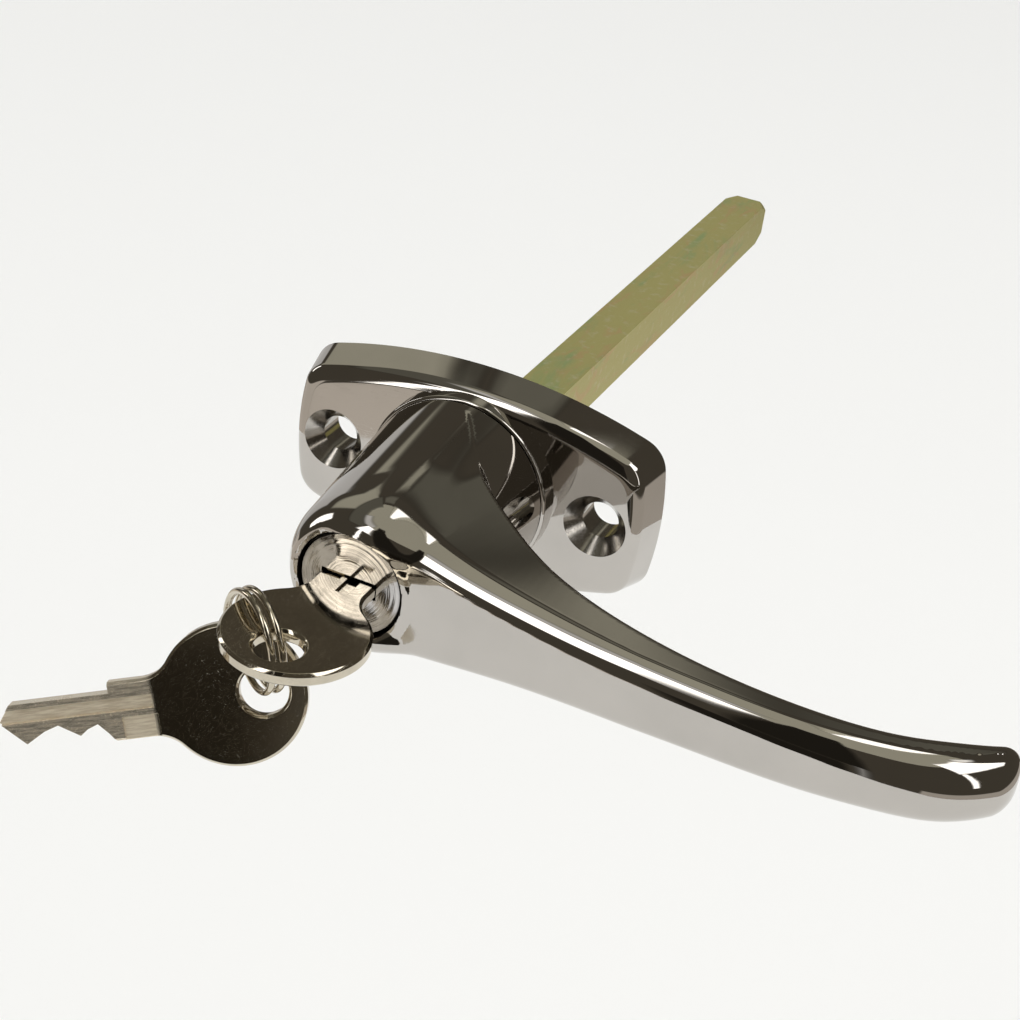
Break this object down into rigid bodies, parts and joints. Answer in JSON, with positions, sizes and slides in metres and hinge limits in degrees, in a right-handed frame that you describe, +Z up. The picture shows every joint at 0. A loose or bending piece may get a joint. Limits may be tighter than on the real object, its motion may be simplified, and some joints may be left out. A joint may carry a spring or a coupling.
{
  "type": "locking l-handle",
  "caption": "Locking L-handle with a key lock in its hub, an oval screw-on plate, a square shaft through the door, a key in the lock and a spare key on a split ring.",
  "frame": {"origin": "centre of the plate's back face, on the shaft's axis and midway between the two fixing holes", "axes": "+Y along the shaft through the door, -Y towards the user, +X along the lever, +Z up"},
  "size_m": [0.1288, 0.201, 0.0402],
  "materials": {
    "chrome": "polished chrome plate over zinc die casting",
    "lock_face": "bright plated plug",
    "lock_barrel": "plated zinc lock sleeve",
    "passivated_steel": "yellow passivated zinc plate",
    "steel": "plain bright steel",
    "spring_steel": "oiled spring steel",
    "wafer_brass": "plain stamped brass",
    "nickel": "polished nickel plate"
  },
  "bodies": {
    "mounting": {"escutcheon": "chrome"},
    "handle": {"lever_handle": "chrome", "square_shaft": "passivated_steel", "shaft_pin": "steel", "disc_spring": "spring_steel", "stop_plate": "passivated_steel", "retaining_ring": "spring_steel", "lock_housing": "lock_barrel", "housing_pin": "steel"},
    "plug": {"lock_plug": "lock_face", "plug_clip": "spring_steel", "tail_cam": "lock_barrel", "wafer_spring_1": "spring_steel", "wafer_spring_2": "spring_steel", "wafer_spring_3": "spring_steel", "wafer_spring_4": "spring_steel", "wafer_spring_5": "spring_steel"},
    "bolt": {"locking_bolt": "steel"},
    "wafers": {"wafer_1": "wafer_brass", "wafer_2": "wafer_brass", "wafer_3": "wafer_brass", "wafer_4": "wafer_brass", "wafer_5": "wafer_brass"},
    "key": {"key": "nickel"},
    "ring": {"split_ring": "nickel"},
    "spare": {"spare_key": "nickel"}
  },
  "joints": [
    {"name": "lever_turn", "type": "hinge", "parent": "mounting", "child": "handle", "pos_m": [0, 0, 0], "axis": [0, 1, 0], "range_deg": [-90, 90]},
    {"name": "plug_turn", "type": "hinge", "parent": "handle", "child": "plug", "pos_m": [0, -0.03, 0], "axis": [0, 1, 0], "range_deg": [0, 90]},
    {"name": "bolt_slide", "type": "slide", "parent": "handle", "child": "bolt", "axis": [-1, 0, 0], "range_m": [0, 0.0019]},
    {"name": "wafer_drop", "type": "slide", "parent": "plug", "child": "wafers", "axis": [1, 0, 0], "range_m": [0, 0.0006], "deforming": ["wafer_spring_1", "wafer_spring_2", "wafer_spring_3", "wafer_spring_4", "wafer_spring_5"]},
    {"name": "key_withdraw", "type": "slide", "parent": "plug", "child": "key", "axis": [0, -1, 0], "range_m": [0, 0.024]},
    {"name": "ring_turn", "type": "hinge", "parent": "key", "child": "ring", "pos_m": [-0.00615, -0.05569, -0.00361], "axis": [0.5808, 0.8137, 0.025], "range_deg": [-12, 12]},
    {"name": "spare_key_swing", "type": "hinge", "parent": "ring", "child": "spare", "pos_m": [-0.0059, -0.05565, -0.0106], "axis": [0.8133, -0.5812, 0.026], "range_deg": [-5, 50]}
  ],
  "couplings": [
    {"joint": "bolt_slide", "follows": "plug_turn", "m_per_rad": 0.001209},
    {"joint": "wafer_drop", "follows": "key_withdraw", "ratio": 0.025}
  ]
}
